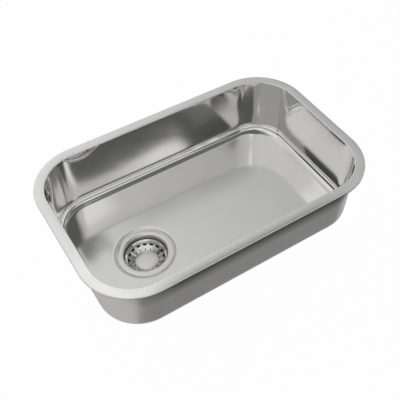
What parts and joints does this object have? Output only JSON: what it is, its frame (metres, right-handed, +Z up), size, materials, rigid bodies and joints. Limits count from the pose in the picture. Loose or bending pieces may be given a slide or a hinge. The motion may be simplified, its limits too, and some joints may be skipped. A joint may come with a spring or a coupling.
{
  "type": "undermount kitchen sink",
  "caption": "Undermount kitchen sink: a single drawn steel bowl with a flat rim, a perforated lift-out basket strainer and a clamped waste outlet.",
  "frame": {"origin": "centre of the rim's top plane, which meets the underside of the worktop", "axes": "+X along the long side, away from the drain; +Y to the back; +Z up, out of the bowl"},
  "size_m": [0.6, 0.39, 0.2905],
  "materials": {
    "brushed_steel": "satin drawn stainless, polished bowl, brushed rim",
    "strainer_steel": "spun stainless, half gloss",
    "basket_steel": "polished stainless pressing",
    "cap_steel": "satin stainless cap",
    "brass_plated": "plain brass",
    "zinc_cast": "cast zinc",
    "chrome_tube": "bright plated tube",
    "grey_foam_rubber": "soft sealing ring",
    "black_rubber": "matt rubber",
    "fibre": "pressed fibre",
    "white_nylon": "nylon",
    "pad_rubber": "matt damping sheet"
  },
  "bodies": {
    "sink": {"sink_bowl": "brushed_steel", "sound_pad_middle": "pad_rubber", "sound_pad_right": "pad_rubber", "strainer_body": "strainer_steel", "flange_seal": "grey_foam_rubber", "underside_washer": "black_rubber", "friction_ring": "fibre", "retaining_cup": "strainer_steel", "locknut": "zinc_cast", "outlet_cross": "strainer_steel", "tailpiece_washer": "white_nylon", "tailpiece": "chrome_tube", "coupling_nut": "zinc_cast"},
    "sleeve": {"post_sleeve": "white_nylon"},
    "basket": {"basket_cup": "basket_steel", "cap_disc": "cap_steel", "basket_post": "basket_steel", "stopper_plate": "basket_steel", "stopper_seal": "black_rubber", "post_nut": "brass_plated"}
  },
  "joints": [
    {"name": "basket_lift", "type": "slide", "parent": "sink", "child": "sleeve", "axis": [0, 0, 1], "range_m": [0, 0.205]},
    {"name": "basket_turn", "type": "hinge", "parent": "sleeve", "child": "basket", "pos_m": [-0.147, -0.017, -0.17], "axis": [0, 0, 1], "continuous": true}
  ]
}
